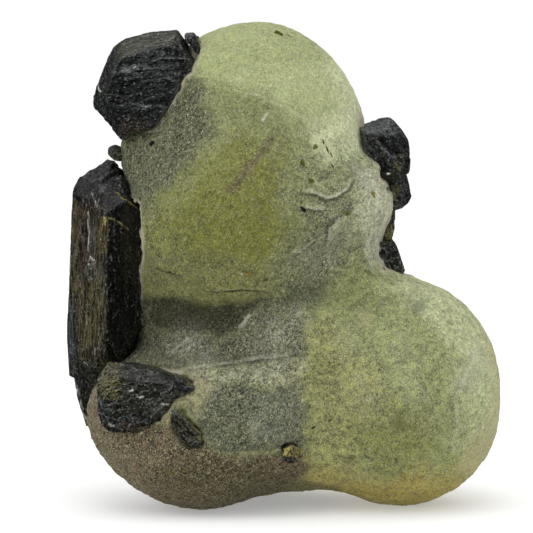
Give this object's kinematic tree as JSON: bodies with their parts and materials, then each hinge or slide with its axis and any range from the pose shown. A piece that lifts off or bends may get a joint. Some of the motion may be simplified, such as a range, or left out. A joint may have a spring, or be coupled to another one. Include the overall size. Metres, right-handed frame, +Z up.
{
  "type": "prehnite with epidote specimen",
  "caption": "Pale green prehnite mass of grown-together balls with dark epidote crystals set in its sides, standing upright on its own underside.",
  "frame": {"origin": "middle of the specimen's width and depth, on the plane that it stands on", "axes": "+Z up, +X to the right and -Y to the front, as the picture shows the specimen"},
  "size_m": [0.0355, 0.0227, 0.0397],
  "materials": {
    "prehnite": "satin",
    "epidote": "satin",
    "epidote_grain": "satin"
  },
  "bodies": {
    "root": {"prehnite_mass": "prehnite", "epidote_upper_left_block": "epidote", "epidote_upper_left_chip": "epidote", "epidote_tiny_left": "epidote", "epidote_left_columns": "epidote", "epidote_lower_left_stub": "epidote", "epidote_lower_left_rod": "epidote", "epidote_right_block": "epidote", "epidote_right_ridge": "epidote", "epidote_base_grain": "epidote_grain"}
  },
  "joints": []
}
